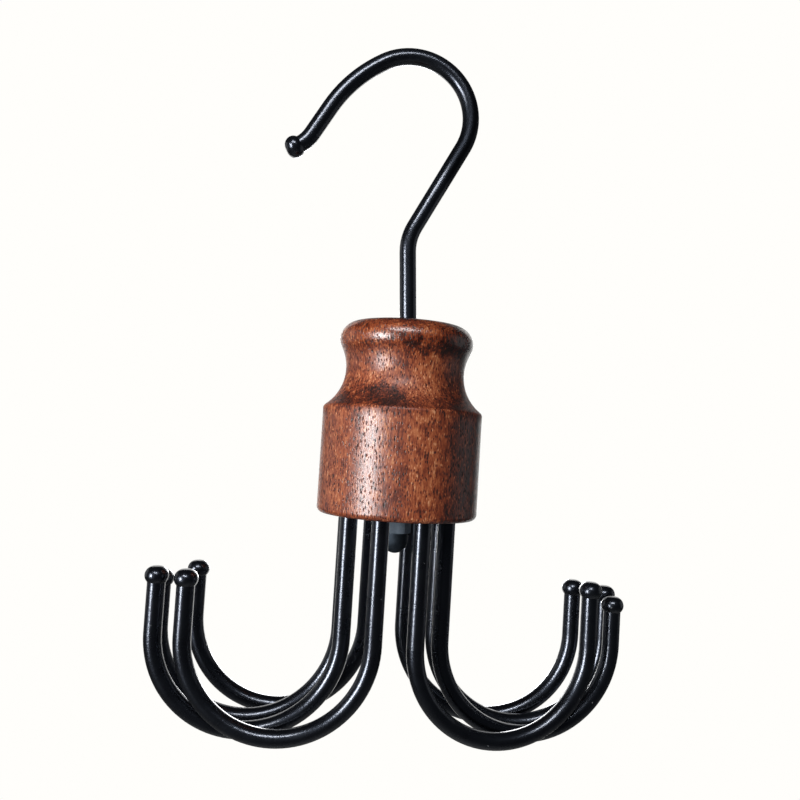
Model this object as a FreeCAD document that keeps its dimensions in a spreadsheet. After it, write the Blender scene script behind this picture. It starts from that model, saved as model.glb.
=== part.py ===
# Tie hanger: a turned wooden block on a swivelling wire hook, with eight wire tie hooks below.
# Millimetres, +Z up. The origin is the rail seat, the highest point inside the hook's crook.
# The hook's crook lies in the XZ plane, and the tie hooks point to +X and -X.
import FreeCAD, Part
import math
import os
import Sketcher

doc = FreeCAD.newDocument("tie_hanger")
sizes = doc.addObject("Spreadsheet::Sheet", "sizes")

# Every size that can be set by itself: alias, value, meaning.
DRIVING = (
    ("wire_d", 5.0, "diameter of the hook wire and the tie hook wire"),
    ("head_d", 6.6, "diameter of the upset head on each wire end"),
    ("head_round", 2.6, "radius of the head's rounded side"),
    ("crook_inner_r", 15.6, "radius inside the crook, where the rail sits"),
    ("crook_turn", 148.0, "angle that the crook bends through"),
    ("nose_bend_r", 42.5, "radius of the wider bend from the crook to the nose, at the wire's centre"),
    ("nose_turn", 29.8, "angle of that wider bend"),
    ("nose_len", 10.0, "straight from the wider bend to the lip"),
    ("lip_bend_r", 10.5, "bend radius of the hook's lip, at the wire's centre"),
    ("lip_turn", 30.6, "angle that the lip bends back"),
    ("lip_end", 1.0, "straight from the lip's bend to the middle of the head"),
    ("slope_len", 28.4, "straight below the crook"),
    ("neck_bend_r", 14.8, "bend radius below the slope, at the wire's centre"),
    ("neck_turn", 31.2, "angle that the neck bends through"),
    ("shank_rise", 20.2, "straight shank above the block"),
    ("set_bend_r", 30.0, "radius of the slight set where the shank leaves the block"),
    ("set_turn", 3.7, "angle of that set"),
    ("block_d", 47.0, "diameter of the block's body"),
    ("block_len", 56.3, "height of the block"),
    ("body_len", 31.0, "height of the block's shoulder"),
    ("neck_d", 35.0, "diameter of the block's neck"),
    ("rim_d", 39.5, "diameter of the block's rim"),
    ("rim_round", 5.25, "radius of the rounded rim"),
    ("base_round", 1.6, "rounding of the block's lower edge"),
    ("shoulder_round", 1.5, "rounding of the block's shoulder"),
    ("bore_break", 0.6, "chamfer of the bore's upper edge"),
    ("swivel_clearance", 0.1, "radial clearance of the shank in the bore"),
    ("ring_d", 30.7, "diameter of the circle of tie hooks"),
    ("seat_len", 20.0, "length of each tie hook inside the block"),
    ("seat_end_gap", 1.0, "room beyond the end of each tie hook in its hole"),
    ("seat_press", 0.1, "amount that each hole is drilled under the wire's diameter"),
    ("drop_len", 35.0, "straight drop of a tie hook below the block"),
    ("tie_bend_r", 26.1, "bend radius of a tie hook, at the wire's centre"),
    ("tie_turn", 180.0, "angle that a tie hook bends through"),
    ("tip_right_1", 14.3, "straight tip of the rearmost hook on the right, to the middle of its head"),
    ("tip_right_2", 13.6, "tip of the second hook on the right"),
    ("tip_right_3", 11.7, "tip of the third hook on the right"),
    ("tip_right_4", 16.5, "tip of the foremost hook on the right"),
    ("tip_left_1", 13.9, "tip of the rearmost hook on the left"),
    ("tip_left_2", 13.2, "tip of the second hook on the left"),
    ("tip_left_3", 15.7, "tip of the third hook on the left"),
    ("tip_left_4", 15.8, "tip of the foremost hook on the left"),
    ("toe_right_2", 1.8, "toe-in of the second hook on the right"),
    ("toe_left_1", -4.4, "toe-in of the rearmost hook on the left"),
    ("toe_left_2", 2.0, "toe-in of the second hook on the left"),
    ("toe_left_3", -0.2, "toe-in of the third hook on the left"),
    ("head_gap", 0.6, "gap between the heads of the two middle hooks on the right"),
    ("hook_gap", 0.7, "gap between the wires of two hooks that cross"),
    ("thrust_gap", 0.1, "running gap between the washer and the block"),
    ("washer_d", 10.0, "outer diameter of the washer"),
    ("washer_t", 1.0, "thickness of the washer"),
    ("washer_clearance", 0.15, "radial clearance of the washer on the wire"),
    ("nut_af", 8.0, "width of the cap nut across its flats"),
    ("nut_hex_t", 4.0, "height of the cap nut's hexagon"),
    ("nut_len", 10.0, "height of the cap nut"),
    ("nut_dome_d", 7.5, "diameter of the cap nut's dome"),
    ("nut_corner_break", 0.35, "radial depth of the chamfer on the hexagon's corners"),
    ("thread_len", 7.0, "length of thread inside the cap nut"),
    ("thread_end_gap", 0.5, "room beyond the wire's end in the cap nut"),
    ("thread_press", 0.2, "diametral overlap that stands for the thread"),
)

# Sizes that follow from the ones above.
DERIVED = (
    ("wire_r", "wire_d / 2"),
    ("crook_r", "crook_inner_r + wire_r"),
    ("slope_angle", "neck_turn - set_turn"),
    ("crook_mid_x", "-set_bend_r * (1 - cos(set_turn)) - shank_rise * sin(set_turn)"
     " + neck_bend_r * (cos(set_turn) - cos(slope_angle)) + slope_len * sin(slope_angle)"
     " - crook_r * cos(slope_angle)"),
    ("crook_mid_z", "set_bend_r * sin(set_turn) + shank_rise * cos(set_turn)"
     " + neck_bend_r * (sin(set_turn) + sin(slope_angle)) + slope_len * cos(slope_angle)"
     " + crook_r * sin(slope_angle)"),
    ("crook_angle", "crook_turn - slope_angle"),
    ("nose_angle", "crook_angle + nose_turn"),
    ("lip_angle", "nose_angle - lip_turn"),
    ("hook_end_x", "crook_mid_x + (crook_r - nose_bend_r) * cos(crook_angle)"
     " + (nose_bend_r + lip_bend_r) * cos(nose_angle) - nose_len * sin(nose_angle)"
     " - lip_bend_r * cos(lip_angle) - lip_end * sin(lip_angle)"),
    ("hook_end_z", "crook_mid_z + (crook_r - nose_bend_r) * sin(crook_angle)"
     " + (nose_bend_r + lip_bend_r) * sin(nose_angle) + nose_len * cos(nose_angle)"
     " - lip_bend_r * sin(lip_angle) + lip_end * cos(lip_angle)"),
    ("axis_x", "-crook_mid_x"),
    ("block_top", "-crook_mid_z - crook_inner_r"),
    ("block_base", "block_top - block_len"),
    ("washer_top", "block_base - thrust_gap"),
    ("nut_top", "washer_top - washer_t"),
    ("shank_len", "block_top - nut_top + thread_len"),
    ("shank_end", "-shank_len"),
    ("half_step", "180 / 8"),
    ("tie_shank_len", "seat_len + drop_len"),
    ("tie_reach", "tie_bend_r * (1 - cos(tie_turn))"),
    ("tie_bend_end", "-drop_len - tie_bend_r * sin(tie_turn)"),
    ("stagger", "ring_d / 2 * (sin(3 * half_step) - sin(half_step))"),
    ("toe_right_3", "asin((ring_d * sin(half_step) - tie_reach * sin(toe_right_2) - head_d - head_gap)"
     " / tie_reach) / 1deg"),
    ("toe_right_1", "asin((stagger + (tie_bend_r - stagger / 2) * sin(toe_right_2) - wire_d - hook_gap)"
     " / (tie_bend_r + stagger / 2)) / 1deg"),
    ("toe_right_4", "asin((stagger + (tie_bend_r - stagger / 2) * sin(toe_right_3) - wire_d - hook_gap)"
     " / (tie_bend_r + stagger / 2)) / 1deg"),
    ("toe_left_4", "asin((stagger + (tie_bend_r - stagger / 2) * sin(toe_left_3) - wire_d - hook_gap)"
     " / (tie_bend_r + stagger / 2)) / 1deg"),
)


def fill_sheet():
    row = 1
    for alias, value, meaning in DRIVING:
        sizes.set(f"A{row}", meaning)
        sizes.set(f"B{row}", str(value))
        sizes.setAlias(f"B{row}", alias)
        row += 1
    doc.recompute()
    for alias, formula in DERIVED:
        sizes.set(f"B{row}", "=" + formula)
        sizes.setAlias(f"B{row}", alias)
        doc.recompute()
        row += 1


def size(alias):
    return float(sizes.get(alias))


def linked(formula):
    """Prefixes each size's name in a formula with the sheet's name, for use outside the sheet."""
    names = [entry[0] for entry in DRIVING + DERIVED]
    words = formula.split()
    return " ".join(f"sizes.{word}" if word in names else word for word in words)


def new_body(name):
    body = doc.addObject("PartDesign::Body", name)
    body.Label = name
    return body


def new_sketch(body, name, role):
    sketch = body.newObject("Sketcher::SketchObject", name)
    plane = [feature for feature in body.Origin.OriginFeatures if feature.Role == role][0]
    sketch.AttachmentSupport = [(plane, "")]
    sketch.MapMode = "FlatFace"
    return sketch


def bind(sketch, formula, *constraint):
    """Adds a dimension to a sketch and ties its value to a formula of sizes."""
    index = sketch.addConstraint(Sketcher.Constraint(*constraint))
    sketch.setExpression(f"Constraints[{index}]", linked(formula))


def relate(sketch, *constraint):
    sketch.addConstraint(Sketcher.Constraint(*constraint))


def point(x, y):
    return FreeCAD.Vector(x, y, 0)


SKETCH_NORMAL = FreeCAD.Vector(0, 0, 1)


def add_arc(sketch, middle, radius, start, end):
    circle = Part.Circle(middle, SKETCH_NORMAL, radius)
    return sketch.addGeometry(Part.ArcOfCircle(circle, start, end))


def add_circle(sketch, diameter_formula, diameter, x=0.0, y=0.0):
    index = sketch.addGeometry(Part.Circle(point(x, y), SKETCH_NORMAL, diameter / 2))
    bind(sketch, diameter_formula, "Diameter", index, diameter)
    return index


def center_on_origin(sketch, index):
    relate(sketch, "Coincident", index, 3, -1, 1)


def wire_path(body, name, start, heading, steps):
    """Draws a chain of straights and tangent bends in the body's XZ plane.

    It starts on the Z axis at the height of the size named start, with a vertical straight. The heading
    is the angle from +Z towards -X. A step is ("line", size) or ("left" or "right", radius size, turn size).
    """
    sketch = new_sketch(body, name, "XZ_Plane")
    x, z = 0.0, size(start)
    before = None
    for step in steps:
        if step[0] == "line":
            length = size(step[1])
            ahead = point(x - length * math.sin(heading), z + length * math.cos(heading))
            index = sketch.addGeometry(Part.LineSegment(point(x, z), ahead))
            first, last = 1, 2
            bind(sketch, step[1], "Distance", index, length)
        else:
            radius = size(step[1])
            turn = math.radians(size(step[2]))
            side = 1.0 if step[0] == "left" else -1.0
            middle = point(x - side * radius * math.cos(heading), z - side * radius * math.sin(heading))
            begin = math.atan2(z - middle.y, x - middle.x)
            end = begin + side * turn
            low, high = min(begin, end), max(begin, end)
            circle = Part.Circle(middle, SKETCH_NORMAL, radius)
            index = sketch.addGeometry(Part.ArcOfCircle(circle, low, high))
            first, last = (1, 2) if side > 0 else (2, 1)
            heading += side * turn
            ahead = point(middle.x + radius * math.cos(end), middle.y + radius * math.sin(end))
            bind(sketch, step[1], "Radius", index, radius)
            bind(sketch, step[2], "Angle", index, turn)
        if before is None:
            relate(sketch, "Vertical", index)
            relate(sketch, "PointOnObject", index, 1, -2)
            bind(sketch, start, "DistanceY", -1, 1, index, 1, z)
        else:
            relate(sketch, "Tangent", before[0], before[1], index, first)
        before = (index, last)
        x, z = ahead.x, ahead.y
    return sketch


def add_wire(body, path, start):
    """Sweeps the round wire along a path from the height of the size named start."""
    profile = new_sketch(body, path.Name + "_section", "XY_Plane")
    profile.setExpression("AttachmentOffset.Base.z", linked(start))
    center_on_origin(profile, add_circle(profile, "wire_d", size("wire_d")))
    pipe = body.newObject("PartDesign::AdditivePipe", path.Name + "_wire")
    pipe.Profile = profile
    pipe.Spine = path
    doc.recompute()
    return pipe


def add_head(body, name, x_formula, z_formula, angle_formula):
    """Adds the upset head round the wire's end: a flat-topped bead with a round side."""
    sketch = new_sketch(body, name, "XZ_Plane")
    sketch.setExpression("AttachmentOffset", linked(
        f"placement( vector( {x_formula} ; {z_formula} ; 0 ) ;"
        f" rotation( vector( 0 ; 0 ; 1 ) ; {angle_formula} ) )"))
    round_r = size("head_round")
    flat = size("head_d") / 2 - round_r
    axis = sketch.addGeometry(Part.LineSegment(point(0, -round_r), point(0, round_r)))
    top = sketch.addGeometry(Part.LineSegment(point(0, round_r), point(flat, round_r)))
    circle = Part.Circle(point(flat, 0), SKETCH_NORMAL, round_r)
    side = sketch.addGeometry(Part.ArcOfCircle(circle, -math.pi / 2, math.pi / 2))
    bottom = sketch.addGeometry(Part.LineSegment(point(flat, -round_r), point(0, -round_r)))
    relate(sketch, "Coincident", axis, 2, top, 1)
    relate(sketch, "Tangent", top, 2, side, 2)
    relate(sketch, "Tangent", side, 1, bottom, 1)
    relate(sketch, "Coincident", bottom, 2, axis, 1)
    relate(sketch, "PointOnObject", axis, 1, -2)
    relate(sketch, "Vertical", axis)
    relate(sketch, "Horizontal", top)
    relate(sketch, "PointOnObject", side, 3, -1)
    bind(sketch, "head_round", "Radius", side, round_r)
    bind(sketch, "head_d / 2 - head_round", "DistanceX", -1, 1, side, 3, flat)
    return add_revolution(body, sketch, "Revolution")


def add_revolution(body, sketch, kind):
    turned = body.newObject("PartDesign::" + kind, sketch.Name + "_turned")
    turned.Profile = sketch
    turned.ReferenceAxis = (sketch, ["V_Axis"])
    turned.Angle = 360
    doc.recompute()
    return turned


def add_pocket(body, sketch, formula=None):
    """Cuts a sketch upwards into a body by a formula's depth, or right through."""
    pocket = body.newObject("PartDesign::Pocket", sketch.Name + "_cut")
    pocket.Profile = sketch
    if formula is None:
        pocket.Type = "ThroughAll"
        pocket.Midplane = True
    else:
        pocket.setExpression("Length", linked(formula))
        pocket.Reversed = True
    doc.recompute()
    return pocket


def place(body, x_formula, z_formula, y_formula="0", angle_formula="0"):
    body.setExpression("Placement", linked(
        f"placement( vector( {x_formula} ; {y_formula} ; {z_formula} ) ;"
        f" rotation( vector( 0 ; 0 ; 1 ) ; {angle_formula} ) )"))


def wood_block():
    body = new_body("wood_block")
    sketch = new_sketch(body, "block_profile", "XZ_Plane")
    half = size("block_d") / 2
    height = size("block_len")
    base, shoulder, rim = size("base_round"), size("shoulder_round"), size("rim_round")
    rim_x, rim_z = size("rim_d") / 2 - rim, height - rim
    neck, body_len = size("neck_d") / 2, size("body_len")
    cove_z = (body_len + rim_z) / 2
    step = half - neck
    cove = ((cove_z - body_len) ** 2 + step ** 2) / (2 * step)
    cove_x = neck + cove
    rim_angle = math.atan2(cove_z - rim_z, cove_x - rim_x)
    low_angle = 2 * math.pi + math.atan2(body_len - cove_z, half - cove_x)
    floor = sketch.addGeometry(Part.LineSegment(point(0, 0), point(half - base, 0)))
    edge = add_arc(sketch, point(half - base, base), base, -math.pi / 2, 0)
    side = sketch.addGeometry(Part.LineSegment(point(half, base), point(half, body_len - shoulder)))
    brow = add_arc(sketch, point(half - shoulder, body_len - shoulder), shoulder, 0, low_angle - math.pi)
    hollow = add_arc(sketch, point(cove_x, cove_z), cove, math.pi + rim_angle, low_angle)
    bead = add_arc(sketch, point(rim_x, rim_z), rim, rim_angle, math.pi / 2)
    top = sketch.addGeometry(Part.LineSegment(point(rim_x, height), point(0, height)))
    axis = sketch.addGeometry(Part.LineSegment(point(0, height), point(0, 0)))
    waist = sketch.addGeometry(Part.Point(point(neck, cove_z)), True)
    corner = sketch.addGeometry(Part.Point(point(half, body_len)), True)
    relate(sketch, "Coincident", floor, 1, -1, 1)
    relate(sketch, "Horizontal", floor)
    relate(sketch, "Vertical", side)
    relate(sketch, "Horizontal", top)
    relate(sketch, "Vertical", axis)
    relate(sketch, "Coincident", top, 2, axis, 1)
    relate(sketch, "Coincident", axis, 2, floor, 1)
    relate(sketch, "Tangent", floor, 2, edge, 1)
    relate(sketch, "Tangent", edge, 2, side, 1)
    relate(sketch, "Tangent", side, 2, brow, 1)
    relate(sketch, "Tangent", bead, 2, top, 1)
    relate(sketch, "Tangent", hollow, 1, bead, 1)
    relate(sketch, "Tangent", brow, 2, hollow, 2)
    relate(sketch, "PointOnObject", waist, 1, hollow)
    relate(sketch, "Horizontal", waist, 1, hollow, 3)
    relate(sketch, "PointOnObject", corner, 1, hollow)
    bind(sketch, "block_len", "DistanceY", axis, 2, axis, 1, height)
    bind(sketch, "base_round", "Radius", edge, base)
    bind(sketch, "shoulder_round", "Radius", brow, shoulder)
    bind(sketch, "rim_round", "Radius", bead, rim)
    bind(sketch, "rim_d / 2 - rim_round", "DistanceX", -1, 1, bead, 3, rim_x)
    bind(sketch, "block_d / 2", "DistanceX", -1, 1, side, 1, half)
    bind(sketch, "neck_d / 2", "DistanceX", -1, 1, waist, 1, neck)
    bind(sketch, "block_d / 2", "DistanceX", -1, 1, corner, 1, half)
    bind(sketch, "body_len", "DistanceY", -1, 1, corner, 1, body_len)
    add_revolution(body, sketch, "Revolution")

    hole = new_sketch(body, "tie_hook_hole", "XY_Plane")
    station = math.radians(size("half_step"))
    ring_r = size("ring_d") / 2
    circle = add_circle(hole, "wire_d - seat_press", size("wire_d") - size("seat_press"),
                        ring_r * math.cos(station), ring_r * math.sin(station))
    bind(hole, "ring_d / 2 * cos( half_step )", "DistanceX", -1, 1, circle, 3, ring_r * math.cos(station))
    bind(hole, "ring_d / 2 * sin( half_step )", "DistanceY", -1, 1, circle, 3, ring_r * math.sin(station))
    cut = add_pocket(body, hole, "seat_len + seat_end_gap")
    ring = body.newObject("PartDesign::PolarPattern", "tie_hook_holes")
    ring.Originals = [cut]
    ring.Axis = (hole, ["N_Axis"])
    ring.Angle = 360
    ring.Occurrences = len(TIE_HOOKS)
    body.Tip = ring
    doc.recompute()

    bore = new_sketch(body, "swivel_bore", "XY_Plane")
    center_on_origin(bore, add_circle(bore, "wire_d + 2 * swivel_clearance",
                                      size("wire_d") + 2 * size("swivel_clearance")))
    add_pocket(body, bore)

    chamfer = new_sketch(body, "bore_chamfer", "XZ_Plane")
    depth = size("bore_break")
    wall = size("wire_d") / 2 + size("swivel_clearance")
    corners = (point(0, height - depth - wall), point(wall + depth, height), point(0, height))
    for first, last in ((0, 1), (1, 2), (2, 0)):
        chamfer.addGeometry(Part.LineSegment(corners[first], corners[last]))
    relate(chamfer, "Coincident", 0, 2, 1, 1)
    relate(chamfer, "Coincident", 1, 2, 2, 1)
    relate(chamfer, "Coincident", 2, 2, 0, 1)
    relate(chamfer, "Horizontal", 1)
    relate(chamfer, "Vertical", 2)
    relate(chamfer, "PointOnObject", 2, 1, -2)
    bind(chamfer, "block_len", "DistanceY", -1, 1, 2, 1, height)
    bind(chamfer, "wire_r + swivel_clearance + bore_break", "DistanceX", 1, 2, 1, 1, wall + depth)
    bind(chamfer, "wire_r + swivel_clearance + bore_break", "DistanceY", 2, 2, 2, 1, wall + depth)
    add_revolution(body, chamfer, "Groove")
    place(body, "axis_x", "block_base")
    return body


def swivel_hook():
    """The hook's local origin is where its shank leaves the block's top."""
    body = new_body("swivel_hook")
    steps = (("line", "shank_len"),
             ("left", "set_bend_r", "set_turn"),
             ("line", "shank_rise"),
             ("right", "neck_bend_r", "neck_turn"),
             ("line", "slope_len"),
             ("left", "crook_r", "crook_turn"),
             ("left", "nose_bend_r", "nose_turn"),
             ("line", "nose_len"),
             ("right", "lip_bend_r", "lip_turn"),
             ("line", "lip_end"))
    path = wire_path(body, "hook_path", "shank_end", 0.0, steps)
    add_wire(body, path, "shank_end")
    add_head(body, "hook_head", "hook_end_x", "hook_end_z", "lip_angle")
    place(body, "axis_x", "block_top")
    return body


# Each tie hook: name, station on the ring in half steps, heading of its bend, sign of its toe-in about +Z.
TIE_HOOKS = (
    ("right_1", 3, 0, "-"),
    ("right_2", 1, 0, "-"),
    ("right_3", -1, 0, "+"),
    ("right_4", -3, 0, "+"),
    ("left_1", 5, 180, "+"),
    ("left_2", 7, 180, "+"),
    ("left_3", 9, 180, "-"),
    ("left_4", 11, 180, "-"),
)


def tie_hook(name, station, heading, sign):
    """The hook's local origin is on its shank at the block's underside, and its bend opens to +X."""
    body = new_body("tie_hook_" + name)
    steps = (("line", "tie_shank_len"),
             ("left", "tie_bend_r", "tie_turn"),
             ("line", f"tip_{name}"))
    path = wire_path(body, f"path_{name}", "seat_len", math.pi, steps)
    add_wire(body, path, "seat_len")
    add_head(body, f"head_{name}", f"tie_reach + tip_{name} * sin( tie_turn )",
             f"tie_bend_end - tip_{name} * cos( tie_turn )", "tie_turn - 180")
    place(body, f"axis_x + ring_d / 2 * cos( {station} * half_step )", "block_base",
          f"ring_d / 2 * sin( {station} * half_step )", f"{heading} {sign} toe_{name}")
    return body


def washer():
    body = new_body("washer")
    ring = new_sketch(body, "washer_ring", "XY_Plane")
    center_on_origin(ring, add_circle(ring, "washer_d", size("washer_d")))
    center_on_origin(ring, add_circle(ring, "wire_d + 2 * washer_clearance",
                                      size("wire_d") + 2 * size("washer_clearance")))
    pad = body.newObject("PartDesign::Pad", "washer_plate")
    pad.Profile = ring
    pad.Reversed = True
    pad.setExpression("Length", linked("washer_t"))
    place(body, "axis_x", "washer_top")
    return body


def cap_nut():
    """The nut's local origin is the middle of its seat, and its dome points down."""
    body = new_body("cap_nut")
    flats = new_sketch(body, "nut_hexagon", "XY_Plane")
    corner_r = size("nut_af") / math.sqrt(3)
    count = 6
    corners = [point(corner_r * math.cos(math.tau * i / count), corner_r * math.sin(math.tau * i / count))
               for i in range(count)]
    for i in range(count):
        flats.addGeometry(Part.LineSegment(corners[i], corners[(i + 1) % count]))
    guide = flats.addGeometry(Part.Circle(point(0, 0), SKETCH_NORMAL, corner_r), True)
    center_on_origin(flats, guide)
    for i in range(count):
        relate(flats, "Coincident", i, 2, (i + 1) % count, 1)
        relate(flats, "PointOnObject", i, 1, guide)
        if i > 0:
            relate(flats, "Equal", 0, i)
    relate(flats, "Horizontal", 1)
    bind(flats, "nut_af / sqrt( 3 )", "Radius", guide, corner_r)
    pad = body.newObject("PartDesign::Pad", "nut_flats")
    pad.Profile = flats
    pad.Reversed = True
    pad.setExpression("Length", linked("nut_hex_t"))
    doc.recompute()

    bevel = new_sketch(body, "nut_corners", "XZ_Plane")
    depth = size("nut_corner_break")
    rise = depth * math.tan(math.radians(30))
    thick = size("nut_hex_t")
    outer = corner_r + depth
    for level, way in ((0, -1), (-thick, 1)):
        spots = (point(corner_r - depth, level), point(outer, level), point(outer, level + way * 2 * rise))
        first = bevel.GeometryCount
        for a, b in ((0, 1), (1, 2), (2, 0)):
            bevel.addGeometry(Part.LineSegment(spots[a], spots[b]))
        for a, b in ((0, 1), (1, 2), (2, 0)):
            relate(bevel, "Coincident", first + a, 2, first + b, 1)
        relate(bevel, "Horizontal", first)
        relate(bevel, "Vertical", first + 1)
        bind(bevel, "nut_af / sqrt( 3 ) - nut_corner_break", "DistanceX", -1, 1, first, 1, corner_r - depth)
        bind(bevel, "2 * nut_corner_break", "DistanceX", first, 1, first, 2, 2 * depth)
        if way < 0:
            relate(bevel, "PointOnObject", first, 1, -1)
            bind(bevel, "2 * nut_corner_break * tan( 30 )", "DistanceY", first + 1, 2, first + 1, 1, 2 * rise)
        else:
            bind(bevel, "nut_hex_t", "DistanceY", first, 1, -1, 1, thick)
            bind(bevel, "2 * nut_corner_break * tan( 30 )", "DistanceY", first + 1, 1, first + 1, 2, 2 * rise)
    add_revolution(body, bevel, "Groove")

    dome = new_sketch(body, "nut_dome", "XZ_Plane")
    dome_r = size("nut_dome_d") / 2
    low = -size("nut_len")
    axis = dome.addGeometry(Part.LineSegment(point(0, low), point(0, -thick / 2)))
    lid = dome.addGeometry(Part.LineSegment(point(0, -thick / 2), point(dome_r, -thick / 2)))
    wall = dome.addGeometry(Part.LineSegment(point(dome_r, -thick / 2), point(dome_r, low + dome_r)))
    circle = Part.Circle(point(0, low + dome_r), SKETCH_NORMAL, dome_r)
    cap = dome.addGeometry(Part.ArcOfCircle(circle, -math.pi / 2, 0))
    relate(dome, "Coincident", axis, 2, lid, 1)
    relate(dome, "Coincident", lid, 2, wall, 1)
    relate(dome, "Tangent", wall, 2, cap, 2)
    relate(dome, "Coincident", cap, 1, axis, 1)
    relate(dome, "PointOnObject", axis, 1, -2)
    relate(dome, "Vertical", axis)
    relate(dome, "Horizontal", lid)
    relate(dome, "Vertical", wall)
    relate(dome, "PointOnObject", cap, 3, -2)
    bind(dome, "nut_dome_d / 2", "Radius", cap, dome_r)
    bind(dome, "nut_len", "DistanceY", axis, 1, -1, 1, -low)
    bind(dome, "nut_hex_t / 2", "DistanceY", axis, 2, -1, 1, thick / 2)
    add_revolution(body, dome, "Revolution")

    thread = new_sketch(body, "nut_thread", "XY_Plane")
    bore_d = size("wire_d") - size("thread_press")
    center_on_origin(thread, add_circle(thread, "wire_d - thread_press", bore_d))
    hole = add_pocket(body, thread, "thread_len + thread_end_gap")
    hole.Reversed = False
    place(body, "axis_x", "nut_top")
    return body


def export(bodies):
    """Checks every object and writes one STEP file for each body."""
    doc.recompute()
    for item in doc.Objects:
        if "Invalid" in item.State or "Error" in item.State:
            raise RuntimeError(f"{item.Label} did not build: {item.State}")
    os.makedirs("parts", exist_ok=True)
    for body in bodies:
        shape = body.Shape
        if shape.isNull() or not shape.isValid() or len(shape.Solids) != 1:
            raise RuntimeError(f"{body.Label} is not one valid solid")
        shape.exportStep(f"parts/{body.Label}.step")
        box = shape.optimalBoundingBox()
        print(body.Label, f"{shape.Volume:.1f} mm3, x {box.XMin:.2f} to {box.XMax:.2f},"
              f" y {box.YMin:.2f} to {box.YMax:.2f}, z {box.ZMin:.2f} to {box.ZMax:.2f}")


fill_sheet()
pieces = [wood_block(), swivel_hook(), washer(), cap_nut()]
for entry in TIE_HOOKS:
    pieces.append(tie_hook(*entry))
export(pieces)
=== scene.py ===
import math

import bmesh
import bpy
from mathutils import Matrix, Vector


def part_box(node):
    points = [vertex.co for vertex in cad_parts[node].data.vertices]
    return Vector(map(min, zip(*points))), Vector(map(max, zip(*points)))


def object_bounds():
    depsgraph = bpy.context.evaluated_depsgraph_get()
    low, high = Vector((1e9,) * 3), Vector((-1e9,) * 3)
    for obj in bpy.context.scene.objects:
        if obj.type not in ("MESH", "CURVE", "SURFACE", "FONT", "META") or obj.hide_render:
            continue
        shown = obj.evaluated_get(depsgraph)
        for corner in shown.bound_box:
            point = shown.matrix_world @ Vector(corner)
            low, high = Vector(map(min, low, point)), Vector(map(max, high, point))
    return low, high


# The tie hanger hangs in front of a white wall: each solid keeps its CAD shape and gets its real finish here
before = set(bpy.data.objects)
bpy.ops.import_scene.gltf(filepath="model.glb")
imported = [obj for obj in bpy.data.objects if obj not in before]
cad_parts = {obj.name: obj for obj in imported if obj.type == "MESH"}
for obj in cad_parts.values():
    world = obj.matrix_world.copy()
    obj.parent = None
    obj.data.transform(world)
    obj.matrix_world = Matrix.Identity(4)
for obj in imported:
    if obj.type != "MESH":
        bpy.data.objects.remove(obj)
cad_low, cad_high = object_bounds()

MM = 0.001
PER_MM = 1000.0
HANGER_MIDDLE = (cad_low + cad_high) / 2
block_low, block_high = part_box("wood_block")
BLOCK_MIDDLE = (block_low + block_high) / 2
nut_low, nut_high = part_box("cap_nut")

# The photograph's camera stands a little to the left of the block and is turned slightly about its own axis
PHOTO_SIDE = 800
FOCAL_PIXELS = 810.7
SENSOR = 36.0
CAMERA_REACH = 240.5 * MM
CAMERA_HEIGHT = 22.6 * MM
CAMERA_BEARING = math.radians(-6.82)
CAMERA_AIM = math.radians(-6.59)
CAMERA_PITCH = math.radians(2.70)
CAMERA_ROLL = math.radians(3.51)

# The ground's white: gloss shows all of the wall's, but little of the floor's and air's, or black turns grey
GROUND_WHITE = "#fffefb"
WALL_IN_GLOSS = 1.0
ROOM_IN_GLOSS = 0.01

# Sockets of a Mix node that is set to colours
MIX_SHARE, MIX_FIRST, MIX_SECOND, MIXED = 0, 6, 7, 2


def linear(hex_code):
    """A colour written in sRGB hex, as the linear numbers that a shader reads."""
    channels = [int(hex_code[i:i + 2], 16) / 255 for i in (1, 3, 5)]
    return [c / 12.92 if c <= 0.04045 else ((c + 0.055) / 1.055) ** 2.4 for c in channels] + [1.0]


def grey(level):
    return [level, level, level, 1.0]


def add(tree, kind, sockets=None, stops=None, **settings):
    """Adds a node with its settings. A socket takes a number, a colour or another node's output."""
    made = tree.nodes.new("ShaderNode" + kind)
    for name, value in settings.items():
        setattr(made, name, value)
    for place, value in (sockets or {}).items():
        if isinstance(value, bpy.types.NodeSocket):
            tree.links.new(value, made.inputs[place])
        else:
            made.inputs[place].default_value = value
    for i, (at, colour) in enumerate(stops or []):
        ramp = made.color_ramp.elements
        stop = ramp[i] if i < 2 else ramp.new(at)
        stop.position = at
        stop.color = colour
    return made


def new_finish(name):
    """An empty material with its tree and the Object coordinates that its patterns read."""
    finish = bpy.data.materials.new(name)
    finish.use_nodes = True
    finish.node_tree.nodes.clear()
    return finish, finish.node_tree, add(finish.node_tree, "TexCoord").outputs["Object"]


def away_from(tree, coords, middle, half_widths):
    """How far each point lies from the middle of an oval patch, where 1 is its edge. Both are in mm."""
    place = add(tree, "Mapping", {
        "Vector": coords,
        "Location": [-m / w for m, w in zip(middle, half_widths)],
        "Scale": [PER_MM / w for w in half_widths],
    })
    return add(tree, "VectorMath", {0: place.outputs["Vector"]}, operation="LENGTH").outputs["Value"]


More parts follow.
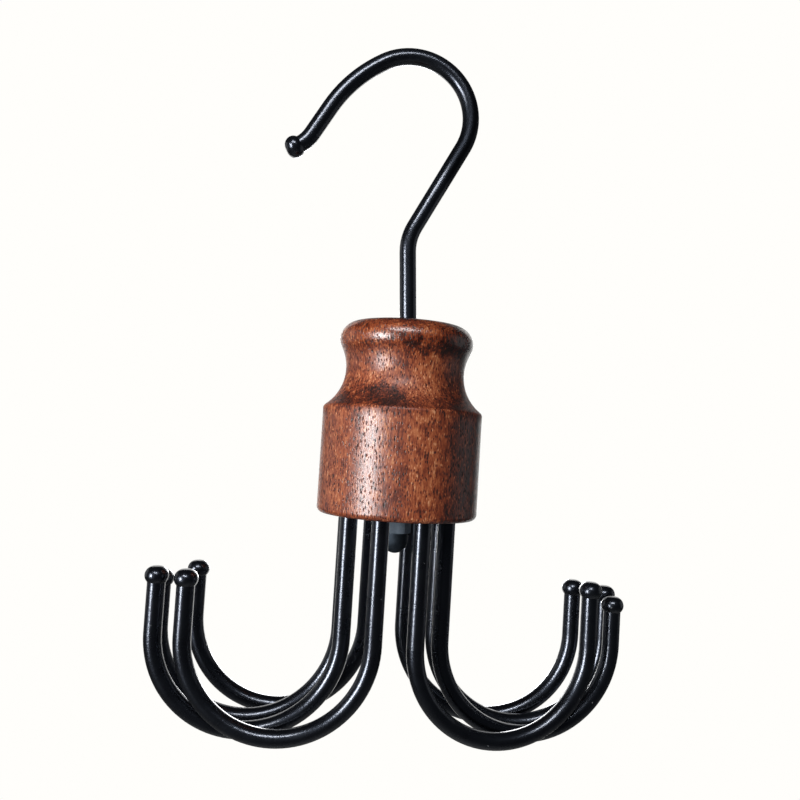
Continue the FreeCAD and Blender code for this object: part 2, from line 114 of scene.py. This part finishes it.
def stained_hardwood():
    """Close-grained hardwood, turned on a lathe, stained red-brown and wiped with satin lacquer.

    The eye gets straight growth bands that run through the block, short dark pores and pale flecks, blotchy
    stain that is darkest where it pooled, edges rubbed paler, and a soft gleam that the pores break up.
    The colour also holds painted shade: on the block's right side, under the rim and on the rim's top.
    """
    finish, tree, coords = new_finish("stained_hardwood")
    noise_roughness, dashes_shift = 0.7, 0.17
    pith_reach, pith_depth, bands_shift, bands_half, bands_sway = 130.0, 8.0, 2.6, 24.0, -7.0
    patch_ragged, patch_core, patch_edge = 2.2, 1.45, 2.15
    end_grain_from, end_grain_full = 0.55, 0.95
    darkest_tone, palest_tone = 2.68, 4.42
    fibre_rise, pore_sink, relief_depth = 0.8, -0.6, 0.07 * MM
    pore_dullness, pore_lacquer, end_grain_lacquer = 0.30, 0.12, 0.25

    # Patterns that follow the grain: width across it and length along it in mm, and the noise's detail
    patterns = {}
    for name, width, length, detail in (
            ("fibre", 0.46, 2.6, 4.0),
            ("figure", 1.5, 14.0, 2.0),
            ("mottle", 3.0, 4.4, 6.0),
            ("drift", 11.0, 30.0, 2.0),
    ):
        place = add(tree, "Mapping", {
            "Vector": coords,
            "Scale": (PER_MM / width, PER_MM / width, PER_MM / length),
        })
        patterns[name] = add(tree, "TexNoise", {
            "Vector": place.outputs["Vector"],
            "Scale": 1.0,
            "Detail": detail,
            "Roughness": noise_roughness,
        }).outputs["Fac"]

    # Vessels are long cells, each a dash in the face grain and a dot in the end grain: open ones are dark,
    # filled ones pale. Real ones are 0.1 mm wide and are drawn wider here, so that they show.
    # Each kind: spacing across and along the grain in mm, shift, and where a dash begins and ends to fade
    dashes = {}
    for name, width, length, shift, core, rim in (
            ("pores", 0.60, 1.5, 0.0, 0.15, 0.38),
            ("long_pores", 1.5, 4.2, 0.31, 0.08, 0.22),
            ("flecks", 0.75, 1.7, 0.62, 0.10, 0.34),
    ):
        place = add(tree, "Mapping", {
            "Vector": coords,
            "Location": (shift, dashes_shift, 0.0),
            "Scale": (PER_MM / width, PER_MM / width, PER_MM / length),
        })
        cells = add(tree, "TexVoronoi", {"Vector": place.outputs["Vector"], "Scale": 1.0}, feature="F1")
        dashes[name] = add(tree, "MapRange", {
            "Value": cells.outputs["Distance"],
            "From Min": core,
            "From Max": rim,
            "To Min": 1.0,
            "To Max": 0.0,
        }, interpolation_type="SMOOTHSTEP").outputs["Result"]
    pores = add(tree, "Math", {0: dashes["pores"], 1: dashes["long_pores"]},
                operation="MAXIMUM").outputs["Value"]

    # Growth bands and painted shade, by distance in mm from the tree's pith, which lay well right of the
    # block
    from_pith = add(tree, "Mapping", {
        "Vector": coords,
        "Location": (-(BLOCK_MIDDLE.x / MM + pith_reach), pith_depth, 0.0),
        "Scale": (PER_MM, PER_MM, PER_MM),
    })
    across = add(tree, "VectorMath", {0: from_pith.outputs["Vector"], 1: (1.0, 1.0, 0.0)},
                 operation="MULTIPLY")
    reach = add(tree, "VectorMath", {0: across.outputs["Vector"]}, operation="LENGTH")
    wavy_reach = add(tree, "Math", {0: patterns["drift"], 1: bands_sway, 2: reach.outputs["Value"]},
                     operation="MULTIPLY_ADD")
    board = add(tree, "MapRange", {
        "Value": wavy_reach.outputs["Value"],
        "From Min": pith_reach - bands_shift + bands_half,
        "From Max": pith_reach - bands_shift - bands_half,
    })
    # Painted shade: the stops from 0.70 to 0.85 darken the block's right side, which faces away from the key
    # lamp.
    # The stops from 0.21 to 0.40 are darker under the key lamp's highlight, so that it reads less red.
    bands_and_painted_shade = add(tree, "ValToRGB", {"Fac": board.outputs["Result"]}, stops=[
        (0.0, grey(0.46)), (0.15, grey(0.50)), (0.21, grey(0.34)), (0.28, grey(0.44)), (0.40, grey(0.42)),
        (0.44, grey(0.20)), (0.47, grey(0.24)), (0.51, grey(0.52)), (0.64, grey(0.58)), (0.70, grey(0.34)),
        (0.75, grey(0.02)), (0.85, grey(0.0)), (1.0, grey(0.20)),
    ])

    # Height from foot to rim: stain pooled on the shoulder, edges rubbed paler, and painted shade at the rim
    height = add(tree, "SeparateXYZ", {"Vector": coords})
    level = add(tree, "MapRange", {
        "Value": height.outputs["Z"],
        "From Min": block_low.z,
        "From Max": block_high.z,
    })
    # Painted shade: the dip at 0.855 stands for the rim's shadow on the neck; the last stop darkens the rim's
    # top
    stain_wear_and_painted_shade = add(tree, "ValToRGB", {"Fac": level.outputs["Result"]}, stops=[
        (0.0, grey(0.58)), (0.03, grey(0.50)), (0.08, grey(0.50)), (0.52, grey(0.50)), (0.545, grey(0.62)),
        (0.565, grey(0.22)), (0.62, grey(0.46)), (0.70, grey(0.64)), (0.80, grey(0.56)), (0.855, grey(0.28)),
        (0.90, grey(0.48)), (0.95, grey(0.46)), (1.0, grey(0.30)),
    ])

    # Dark patches where the stain took twice: middle and half-widths of each, in mm
    patches = None
    for middle, half_widths in (
            ((-5.0, -18.5, -101.5), (9.0, 9.0, 4.5)),
            ((-15.0, -12.0, -102.5), (4.0, 8.0, 4.0)),
            ((8.6, -17.0, -86.6), (9.5, 9.0, 3.3)),
    ):
        apart = away_from(tree, coords, middle, half_widths)
        ragged = add(tree, "Math", {0: patterns["mottle"], 1: patch_ragged, 2: apart},
                     operation="MULTIPLY_ADD")
        patch = add(tree, "MapRange", {
            "Value": ragged.outputs["Value"],
            "From Min": patch_core,
            "From Max": patch_edge,
            "To Min": 1.0,
            "To Max": 0.0,
        }, interpolation_type="SMOOTHSTEP").outputs["Result"]
        patches = patch if patches is None else add(
            tree, "Math", {0: patches, 1: patch}, operation="MAXIMUM").outputs["Value"]

    # End grain on the flat top and foot drinks the stain and the lacquer: darker and duller there
    facing = add(tree, "SeparateXYZ", {"Vector": add(tree, "TexCoord").outputs["Normal"]})
    upright = add(tree, "Math", {0: facing.outputs["Z"]}, operation="ABSOLUTE")
    end_grain = add(tree, "MapRange", {
        "Value": upright.outputs["Value"],
        "From Min": end_grain_from,
        "From Max": end_grain_full,
    }, interpolation_type="SMOOTHSTEP").outputs["Result"]

    # Tone: the bands first, then each pattern with its share; painted shade comes in with the bands and
    # height
    tone = bands_and_painted_shade.outputs["Color"]
    for pattern, share in (
            (stain_wear_and_painted_shade.outputs["Color"], 0.70),
            (patches, -0.42),
            (end_grain, -0.22),
            (patterns["mottle"], 2.10),
            (patterns["figure"], 0.55),
            (patterns["fibre"], 2.80),
            (pores, -0.80),
            (dashes["flecks"], 0.60),
    ):
        tone = add(tree, "Math", {0: pattern, 1: share, 2: tone}, operation="MULTIPLY_ADD").outputs["Value"]
    stain_tone = add(tree, "MapRange", {"Value": tone, "From Min": darkest_tone, "From Max": palest_tone})
    stain = add(tree, "ValToRGB", {"Fac": stain_tone.outputs["Result"]}, stops=[
        (0.0, linear("#260e07")), (0.2, linear("#521f10")), (0.4, linear("#80381e")),
        (0.6, linear("#a65530")), (0.8, linear("#c4784c")), (1.0, linear("#e0a47a")),
    ])

    # Relief: raised fibres and open pores
    raised = add(tree, "Math", {0: patterns["fibre"], 1: fibre_rise}, operation="MULTIPLY")
    relief = add(tree, "Math", {0: pores, 1: pore_sink, 2: raised.outputs["Value"]},
                 operation="MULTIPLY_ADD")
    grain = add(tree, "Bump", {"Height": relief.outputs["Value"], "Distance": relief_depth, "Strength": 1.0})

    # Satin, smoother on the rim that thumbs polish, and dull in the pores
    satin = add(tree, "MapRange", {"Value": patterns["mottle"], "To Min": 0.44, "To Max": 0.62})
    thumbed = add(tree, "ValToRGB", {"Fac": level.outputs["Result"]}, stops=[
        (0.80, grey(1.0)), (0.87, grey(0.48)), (0.96, grey(0.48)), (1.0, grey(0.9)),
    ])
    polished = add(tree, "Math", {0: satin.outputs["Result"], 1: thumbed.outputs["Color"]},
                   operation="MULTIPLY")
    dullness = add(tree, "Math", {0: pores, 1: pore_dullness, 2: polished.outputs["Value"]},
                   operation="MULTIPLY_ADD")

    # Lacquer: thin on the shoulder and low on the neck, on end grain and over open pores
    wiped = add(tree, "ValToRGB", {"Fac": level.outputs["Result"]}, stops=[
        (0.50, grey(1.0)), (0.535, grey(0.25)), (0.71, grey(0.25)), (0.78, grey(0.90)), (0.84, grey(1.0)),
    ])
    dry = add(tree, "MapRange", {"Value": end_grain, "To Min": 1.0, "To Max": end_grain_lacquer})
    film = add(tree, "Math", {0: wiped.outputs["Color"], 1: dry.outputs["Result"]}, operation="MULTIPLY")
    bridged = add(tree, "MapRange", {"Value": pores, "To Min": 1.0, "To Max": pore_lacquer})
    lacquer = add(tree, "Math", {0: film.outputs["Value"], 1: bridged.outputs["Result"]},
                  operation="MULTIPLY")

    shader = add(tree, "BsdfPrincipled", {
        "Base Color": stain.outputs["Color"],
        "Roughness": dullness.outputs["Value"],
        "Normal": grain.outputs["Normal"],
        "IOR": 1.5,
        "Coat Weight": lacquer.outputs["Value"],
        "Coat Roughness": 0.27,
        "Coat IOR": 1.62,
        "Coat Normal": grain.outputs["Normal"],
    })
    add(tree, "OutputMaterial", {"Surface": shader.outputs["BSDF"]})
    return finish


def black_enamel():
    """Black stove enamel over bent steel wire.

    The eye gets deep black with a thin bright line along the wire, broken by a faint orange peel,
    and here and there a speck of dust.
    """
    finish, tree, coords = new_finish("black_stove_enamel")
    peel_size, peel_depth = 0.55, 0.035 * MM
    cloud_size = 5.0
    speck_spacing, speck_core, speck_edge = 4.5, 0.018, 0.036
    bend_middle, bend_half_widths, bend_core, bend_edge = (18.0, 0.0, -27.0), (9.0, 9.0, 26.0), 0.6, 1.1
    bend_dullness = 0.10

    peel = add(tree, "TexNoise", {
        "Vector": coords,
        "Scale": PER_MM / peel_size,
        "Detail": 2.0,
        "Roughness": 0.55,
    })
    cloud = add(tree, "TexNoise", {
        "Vector": coords,
        "Scale": PER_MM / cloud_size,
        "Detail": 3.0,
        "Roughness": 0.6,
    })
    cells = add(tree, "TexVoronoi", {"Vector": coords, "Scale": PER_MM / speck_spacing}, feature="F1")
    speck = add(tree, "MapRange", {
        "Value": cells.outputs["Distance"],
        "From Min": speck_core,
        "From Max": speck_edge,
        "To Min": 1.0,
        "To Max": 0.0,
    }).outputs["Result"]
    enamel = add(tree, "ValToRGB", {"Fac": cloud.outputs["Fac"]}, stops=[
        (0.3, linear("#030304")), (0.7, linear("#08090b")),
    ])
    dusted = add(tree, "Mix", {
        MIX_SHARE: speck,
        MIX_FIRST: enamel.outputs["Color"],
        MIX_SECOND: linear("#b9bcc0"),
    }, data_type="RGBA")

    # The hard bend at the right of the crook stretched the enamel, and it stayed duller there
    stretched = add(tree, "MapRange", {
        "Value": away_from(tree, coords, bend_middle, bend_half_widths),
        "From Min": bend_core,
        "From Max": bend_edge,
        "To Min": 1.0,
        "To Max": 0.0,
    }, interpolation_type="SMOOTHSTEP").outputs["Result"]
    clouded = add(tree, "MapRange", {"Value": cloud.outputs["Fac"], "To Min": 0.24, "To Max": 0.32})
    dullness = add(tree, "Math", {0: stretched, 1: bend_dullness, 2: clouded.outputs["Result"]},
                   operation="MULTIPLY_ADD")
    glaze = add(tree, "MapRange", {"Value": stretched, "To Min": 0.7, "To Max": 0.0})
    gleam = add(tree, "MapRange", {"Value": stretched, "To Min": 0.5, "To Max": 0.16})

    skin = add(tree, "Bump", {"Height": peel.outputs["Fac"], "Distance": peel_depth, "Strength": 1.0})
    shader = add(tree, "BsdfPrincipled", {
        "Base Color": dusted.outputs[MIXED],
        "Roughness": dullness.outputs["Value"],
        "Normal": skin.outputs["Normal"],
        "IOR": 1.7,
        "Specular IOR Level": gleam.outputs["Result"],
        "Specular Tint": linear("#d3e2ff"),
        "Coat Weight": glaze.outputs["Result"],
        "Coat Roughness": 0.18,
        "Coat IOR": 1.55,
        "Coat Normal": skin.outputs["Normal"],
    })
    add(tree, "OutputMaterial", {"Surface": shader.outputs["BSDF"]})
    return finish


def black_zinc():
    """Turned steel under black zinc plate, as on a cap nut.

    The eye gets a dark metal with a cold blue-grey gleam, slightly clouded, and a painted highlight
    that makes the hexagon's flats paler than the dome.
    """
    finish, tree, coords = new_finish("black_zinc_plate")
    cloud_size, grit_size, grit_depth = 1.6, 0.25, 0.02 * MM
    dome_share, flats_fade = 0.6, 0.2 * MM
    cloud_share, flats_highlight_share = 0.5, 0.5
    cloud = add(tree, "TexNoise", {
        "Vector": coords,
        "Scale": PER_MM / cloud_size,
        "Detail": 4.0,
        "Roughness": 0.6,
    })
    grit = add(tree, "TexNoise", {
        "Vector": coords,
        "Scale": PER_MM / grit_size,
        "Detail": 2.0,
        "Roughness": 0.6,
    })
    # Painted highlight: above the dome the plate is paler, for a flat that catches the lamp; the dome stays
    # dark
    height = add(tree, "SeparateXYZ", {"Vector": coords})
    flats_foot = nut_low.z + dome_share * (nut_high.z - nut_low.z)
    flats_painted_highlight = add(tree, "MapRange", {
        "Value": height.outputs["Z"],
        "From Min": flats_foot - flats_fade,
        "From Max": flats_foot + flats_fade,
        "To Max": flats_highlight_share,
    })
    clouding_and_painted_highlight = add(tree, "Math", {0: cloud.outputs["Fac"], 1: cloud_share, 2: flats_painted_highlight.outputs["Result"]},
               operation="MULTIPLY_ADD")
    plate = add(tree, "ValToRGB", {"Fac": clouding_and_painted_highlight.outputs["Value"]}, stops=[
        (0.15, linear("#343c44")), (0.35, linear("#48515b")), (0.65, linear("#8492a0")),
        (0.85, linear("#9fadbb")),
    ])
    dullness = add(tree, "MapRange", {"Value": cloud.outputs["Fac"], "To Min": 0.60, "To Max": 0.72})
    skin = add(tree, "Bump", {"Height": grit.outputs["Fac"], "Distance": grit_depth, "Strength": 1.0})
    shader = add(tree, "BsdfPrincipled", {
        "Base Color": plate.outputs["Color"],
        "Roughness": dullness.outputs["Result"],
        "Normal": skin.outputs["Normal"],
        "Metallic": 1.0,
    })
    add(tree, "OutputMaterial", {"Surface": shader.outputs["BSDF"]})
    return finish


def dress():
    """Gives every CAD node the finish of its material slot."""
    finishes = {
        "stained_wood": stained_hardwood(),
        "black_wire": black_enamel(),
        "black_hardware": black_zinc(),
    }
    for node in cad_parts.values():
        for slot in node.material_slots:
            slot.material = finishes[slot.material.name]


def stand_camera():
    """Puts the camera where the photograph was taken from."""
    lens = bpy.data.cameras.new("photo_camera")
    lens.sensor_width = SENSOR
    lens.lens = FOCAL_PIXELS / PHOTO_SIDE * SENSOR
    lens.clip_start = 10 * MM
    forward = Vector((
        -math.sin(CAMERA_AIM) * math.cos(CAMERA_PITCH),
        math.cos(CAMERA_AIM) * math.cos(CAMERA_PITCH),
        math.sin(CAMERA_PITCH),
    ))
    right = forward.cross(Vector((0.0, 0.0, 1.0))).normalized()
    up = right.cross(forward)
    stand = Vector((
        BLOCK_MIDDLE.x + CAMERA_REACH * math.sin(CAMERA_BEARING),
        BLOCK_MIDDLE.y - CAMERA_REACH * math.cos(CAMERA_BEARING),
        block_low.z + CAMERA_HEIGHT,
    ))
    level = Matrix((right, up, -forward)).transposed().to_4x4()
    camera = bpy.data.objects.new("photo_camera", lens)
    camera.matrix_world = Matrix.Translation(stand) @ level @ Matrix.Rotation(CAMERA_ROLL, 4, "Z")
    bpy.context.scene.collection.objects.link(camera)
    bpy.context.scene.camera = camera


def hang_lamp(name, bearing, elevation, reach, width, height, level):
    """A soft lamp aimed at the hanger. At level 1 a surface facing it renders as its colour is written."""
    lamp = bpy.data.lights.new(name, "AREA")
    lamp.shape = "RECTANGLE"
    lamp.size = width
    lamp.size_y = height
    lamp.energy = level * (math.pi * reach) ** 2
    turn, lift = math.radians(bearing), math.radians(elevation)
    toward = Vector((math.sin(turn) * math.cos(lift), -math.cos(turn) * math.cos(lift), math.sin(lift)))
    stand = bpy.data.objects.new(name, lamp)
    stand.location = HANGER_MIDDLE + toward * reach
    stand.rotation_euler = (-toward).to_track_quat("-Z", "Y").to_euler()
    stand.visible_camera = False
    bpy.context.scene.collection.objects.link(stand)


def white_ground(tree, in_gloss):
    """How much of the ground's white a ray sees: all straight or through glass, in_gloss of it in gloss."""
    path = add(tree, "LightPath").outputs
    plain = add(tree, "Math", {0: path["Is Camera Ray"], 1: path["Is Transmission Ray"]},
                operation="MAXIMUM")
    return add(tree, "Math", {0: path["Is Glossy Ray"], 1: in_gloss, 2: plain.outputs["Value"]},
               operation="MULTIPLY_ADD").outputs["Value"]


def light_studio():
    """A tall soft lamp on the left, a strip above, weaker lamps at both sides and behind, and dim air."""
    hang_lamp("key_lamp", bearing=-50, elevation=-2, reach=0.90, width=0.20, height=0.45, level=0.88)
    hang_lamp("top_lamp", bearing=-14, elevation=38, reach=0.90, width=0.52, height=0.12, level=0.46)
    hang_lamp("side_lamp", bearing=96, elevation=5, reach=1.30, width=0.90, height=0.90, level=0.03)
    hang_lamp("left_lamp", bearing=-118, elevation=5, reach=1.30, width=0.90, height=0.90, level=0.05)
    hang_lamp("back_lamp", bearing=173, elevation=0, reach=1.30, width=0.45, height=0.45, level=0.35)
    air = bpy.data.worlds.new("studio_air")
    air.use_nodes = True
    tree = air.node_tree
    tree.nodes.clear()
    dim = add(tree, "Background", {"Color": linear("#1f2228")})
    white = add(tree, "Background", {"Color": linear(GROUND_WHITE)})
    mixed = add(tree, "MixShader", {
        0: white_ground(tree, ROOM_IN_GLOSS),
        1: dim.outputs["Background"],
        2: white.outputs["Background"],
    })
    add(tree, "OutputWorld", {"Surface": mixed.outputs["Shader"]})
    bpy.context.scene.world = air


def white_card():
    """Matt white card for the wall: it shows as white to the camera and in the gloss of the wires."""
    finish, tree, _ = new_finish("matt_white_card")
    paper = add(tree, "BsdfDiffuse", {"Color": linear("#e8e7e3")})
    glow = add(tree, "Emission", {"Color": linear(GROUND_WHITE), "Strength": 1.0})
    card = add(tree, "MixShader", {
        0: white_ground(tree, WALL_IN_GLOSS),
        1: paper.outputs["BSDF"],
        2: glow.outputs["Emission"],
    })
    add(tree, "OutputMaterial", {"Surface": card.outputs["Shader"]})
    return finish


def pale_floor():
    """Matt pale paint for the floor, near white to the camera, with a trace of its own light and shade."""
    finish, tree, coords = new_finish("matt_pale_floor")
    speckles_per_metre, white_share = 40.0, 0.97
    speckle = add(tree, "TexNoise", {"Vector": coords, "Scale": speckles_per_metre, "Detail": 3.0})
    paint = add(tree, "ValToRGB", {"Fac": speckle.outputs["Fac"]}, stops=[
        (0.3, linear("#e9e8e4")), (0.7, linear("#efeeea")),
    ])
    matt = add(tree, "BsdfDiffuse", {"Color": paint.outputs["Color"]})
    glow = add(tree, "Emission", {"Color": linear(GROUND_WHITE), "Strength": 1.0})
    lift = add(tree, "Math", {0: white_ground(tree, ROOM_IN_GLOSS), 1: white_share}, operation="MULTIPLY")
    floor = add(tree, "MixShader", {
        0: lift.outputs["Value"],
        1: matt.outputs["BSDF"],
        2: glow.outputs["Emission"],
    })
    add(tree, "OutputMaterial", {"Surface": floor.outputs["Shader"]})
    return finish


def stage_piece(name, shape, finish):
    mesh = bpy.data.meshes.new(name)
    shape.to_mesh(mesh)
    shape.free()
    mesh.materials.append(finish)
    for face in mesh.polygons:
        face.use_smooth = True
    piece = bpy.data.objects.new(name, mesh)
    bpy.context.scene.collection.objects.link(piece)


def build_stage():
    """A round floor well below the hanger, and a curved white wall behind it."""
    floor_level, floor_radius, floor_sides = -1.90, 6.0, 96
    wall_reach, wall_top, wall_half_turn, wall_steps = 3.0, 1.80, math.radians(32), 32
    floor = bmesh.new()
    bmesh.ops.create_circle(floor, cap_ends=True, segments=floor_sides, radius=floor_radius,
                            matrix=Matrix.Translation((0.0, 0.0, floor_level)))
    stage_piece("floor", floor, pale_floor())

    wall = bmesh.new()
    foot = wall.verts.new((0.0, wall_reach, floor_level))
    head = wall.verts.new((0.0, wall_reach, wall_top))
    edge = wall.edges.new((foot, head))
    turn = Matrix.Rotation(CAMERA_AIM - wall_half_turn, 3, "Z")
    bmesh.ops.rotate(wall, verts=[foot, head], matrix=turn)
    bmesh.ops.spin(wall, geom=[foot, head, edge], axis=(0.0, 0.0, 1.0), cent=(0.0, 0.0, 0.0),
                   angle=2 * wall_half_turn, steps=wall_steps)
    stage_piece("wall", wall, white_card())


stand_camera()
light_studio()
build_stage()
dress()

bpy.context.scene.view_settings.view_transform = "Standard"
